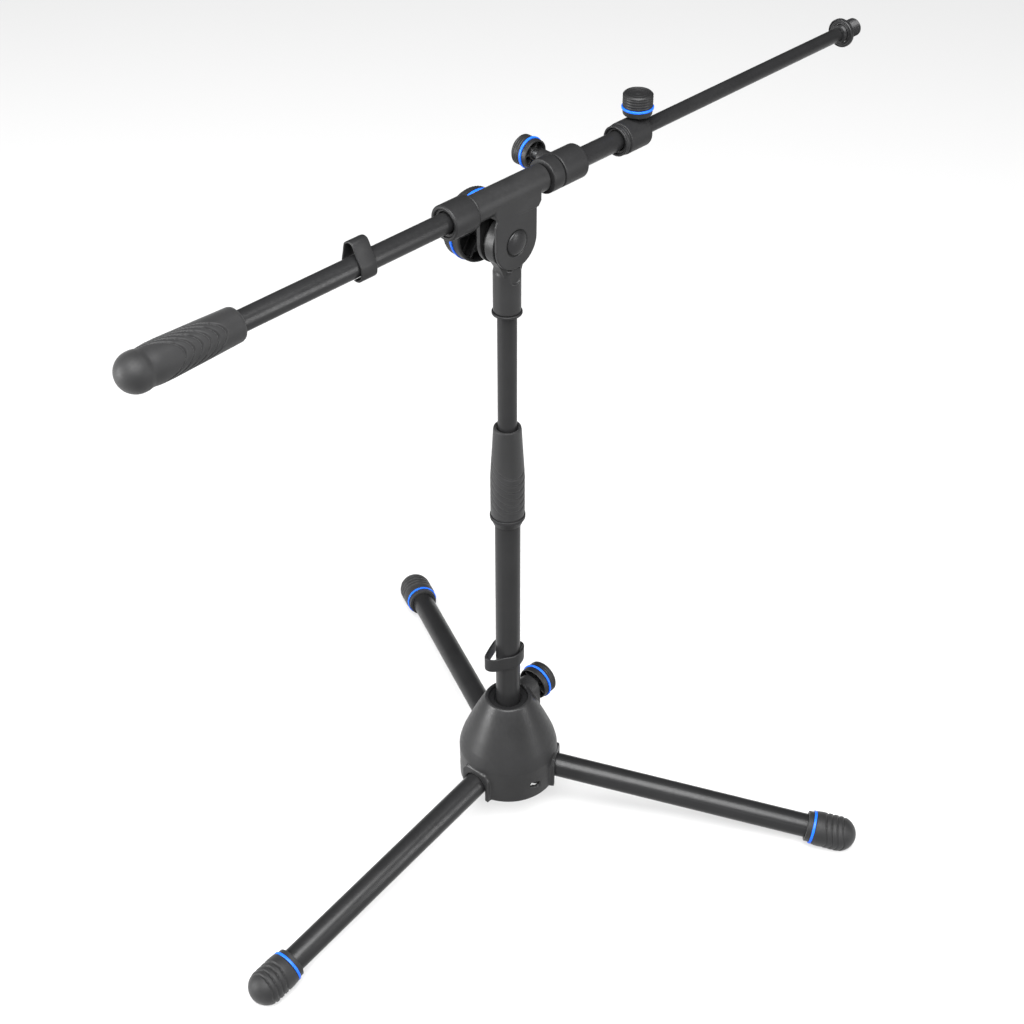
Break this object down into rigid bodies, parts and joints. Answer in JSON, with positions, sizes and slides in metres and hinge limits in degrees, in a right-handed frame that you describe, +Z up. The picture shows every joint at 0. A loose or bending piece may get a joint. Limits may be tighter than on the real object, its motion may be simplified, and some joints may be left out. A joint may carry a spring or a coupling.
{
  "type": "boom microphone stand",
  "caption": "Short boom microphone stand: folding tripod base, twist-clutch telescopic mast, tilting head and telescopic boom with a threaded tip, cable clips and ringed clamp knobs.",
  "frame": {"origin": "bottom centre of the whole stand's bounding box: level with the soles of the three boots, which stand on the floor", "axes": "+Z up along the mast, +X along the boom towards its threaded tip, +Y towards the side that the tilt knob is on"},
  "size_m": [0.798, 0.5734, 0.6783],
  "materials": {
    "powder_coat": "satin charcoal-black powder coat",
    "casting": "satin charcoal-black paint on a die casting",
    "plastic": "fine-textured black moulding",
    "rubber": "soft black rubber with a light grey sheen",
    "blue_ring": "satin blue",
    "nylon": "plain black nylon",
    "steel": "zinc-plated, plain",
    "black_steel": "black oxide"
  },
  "bodies": {
    "base": {"hub_housing": "casting", "mast_guide_bush": "nylon", "hinge_pin_back": "steel", "hinge_pin_left": "steel", "hinge_pin_right": "steel", "base_clamp_pad": "nylon"},
    "leg_back": {"leg_tube_back": "powder_coat", "leg_hinge_block_back": "plastic", "leg_boot_back": "rubber", "boot_ring_back": "blue_ring"},
    "leg_left": {"leg_tube_left": "powder_coat", "leg_hinge_block_left": "plastic", "leg_boot_left": "rubber", "boot_ring_left": "blue_ring"},
    "leg_right": {"leg_tube_right": "powder_coat", "leg_hinge_block_right": "plastic", "leg_boot_right": "rubber", "boot_ring_right": "blue_ring"},
    "base_knob_body": {"base_knob": "plastic", "base_knob_ring": "blue_ring", "base_clamp_screw": "steel"},
    "lower_mast": {"lower_mast_tube": "powder_coat", "mast_end_plug": "plastic", "clutch_sleeve": "plastic"},
    "mast_clip": {"mast_cable_clip": "plastic"},
    "clutch_grip_body": {"clutch_grip": "rubber"},
    "clutch_collet_body": {"clutch_collet": "nylon"},
    "upper_mast": {"upper_mast_tube": "powder_coat", "upper_tube_glide": "nylon", "head_yoke": "casting", "socket_rim": "plastic", "front_friction_washer": "nylon", "rear_friction_washer": "nylon"},
    "boom_head": {"boom_sleeve": "casting", "rear_collar": "plastic", "clamp_ring": "plastic", "front_collar": "plastic", "slide_clamp_pad": "nylon", "pivot_bolt": "black_steel"},
    "tilt_knob_body": {"tilt_knob": "plastic", "tilt_knob_ring": "blue_ring"},
    "slide_knob_body": {"slide_knob": "plastic", "slide_knob_ring": "blue_ring", "slide_clamp_screw": "steel"},
    "boom_liner_body": {"boom_liner": "nylon"},
    "boom": {"boom_tube": "powder_coat", "boom_grip": "rubber", "extension_collar": "plastic", "extension_clamp_pad": "nylon"},
    "boom_clip": {"boom_cable_clip": "plastic"},
    "extension_knob_body": {"extension_knob": "plastic", "extension_knob_ring": "blue_ring", "extension_clamp_screw": "steel"},
    "extension_bush_body": {"extension_bush": "nylon"},
    "extension": {"extension_tube": "powder_coat", "extension_glide": "nylon", "thread_stud": "black_steel"},
    "lock_nut_body": {"lock_nut": "black_steel"}
  },
  "joints": [
    {"name": "leg_fold_back", "type": "hinge", "parent": "base", "child": "leg_back", "pos_m": [-0.02762, 0.0199, 0.05658], "axis": [-0.891, 0.454, 0], "range_deg": [0, 80]},
    {"name": "leg_fold_left", "type": "hinge", "parent": "base", "child": "leg_left", "pos_m": [-0.07362, -0.00997, 0.05658], "axis": [0.0523, -0.9986, 0], "range_deg": [0, 80]},
    {"name": "leg_fold_right", "type": "hinge", "parent": "base", "child": "leg_right", "pos_m": [-0.02475, -0.03487, 0.05658], "axis": [0.8387, 0.5446, 0], "range_deg": [0, 80]},
    {"name": "base_knob_turn", "type": "hinge", "parent": "base", "child": "base_knob_body", "pos_m": [-0.00106, -0.00617, 0.1242], "axis": [0.9986, 0.0523, 0], "range_deg": [0, 270]},
    {"name": "base_slide", "type": "slide", "parent": "base", "child": "lower_mast", "axis": [0, 0, 1], "range_m": [-0.02, 0.04]},
    {"name": "mast_clip_slide", "type": "slide", "parent": "lower_mast", "child": "mast_clip", "axis": [0, 0, 1], "range_m": [-0.012, 0.12]},
    {"name": "clutch_twist", "type": "hinge", "parent": "lower_mast", "child": "clutch_grip_body", "pos_m": [-0.042, -0.00831, 0.3892], "axis": [0, 0, 1], "range_deg": [0, 180]},
    {"name": "mast_swivel", "type": "hinge", "parent": "lower_mast", "child": "clutch_collet_body", "pos_m": [-0.042, -0.00831, 0.4092], "axis": [0, 0, 1], "continuous": true},
    {"name": "mast_slide", "type": "slide", "parent": "clutch_collet_body", "child": "upper_mast", "axis": [0, 0, 1], "range_m": [-0.1, 0.12]},
    {"name": "boom_tilt", "type": "hinge", "parent": "upper_mast", "child": "boom_head", "pos_m": [-0.042, -0.00831, 0.6072], "axis": [0, -1, 0], "range_deg": [-80, 90]},
    {"name": "tilt_knob_turn", "type": "hinge", "parent": "boom_head", "child": "tilt_knob_body", "pos_m": [-0.042, 0.02469, 0.6072], "axis": [0, 1, 0], "range_deg": [0, 270]},
    {"name": "slide_knob_turn", "type": "hinge", "parent": "boom_head", "child": "slide_knob_body", "pos_m": [0.02, 0.02669, 0.6452], "axis": [0, 1, 0], "range_deg": [0, 270]},
    {"name": "boom_roll", "type": "hinge", "parent": "boom_head", "child": "boom_liner_body", "pos_m": [-0.042, -0.00831, 0.6452], "axis": [1, 0, 0], "continuous": true},
    {"name": "boom_slide", "type": "slide", "parent": "boom_liner_body", "child": "boom", "axis": [1, 0, 0], "range_m": [-0.042, 0.068]},
    {"name": "boom_clip_slide", "type": "slide", "parent": "boom", "child": "boom_clip", "axis": [-1, 0, 0], "range_m": [-0.004, 0.086]},
    {"name": "extension_knob_turn", "type": "hinge", "parent": "boom", "child": "extension_knob_body", "pos_m": [0.106, -0.00831, 0.6662], "axis": [0, 0, 1], "range_deg": [0, 270]},
    {"name": "extension_roll", "type": "hinge", "parent": "boom", "child": "extension_bush_body", "pos_m": [0.118, -0.00831, 0.6452], "axis": [1, 0, 0], "continuous": true},
    {"name": "extension_slide", "type": "slide", "parent": "extension_bush_body", "child": "extension", "axis": [1, 0, 0], "range_m": [-0.25, 0.06]},
    {"name": "lock_nut_spin", "type": "hinge", "parent": "extension", "child": "lock_nut_body", "pos_m": [0.3795, -0.00831, 0.6452], "axis": [1, 0, 0], "continuous": true}
  ]
}
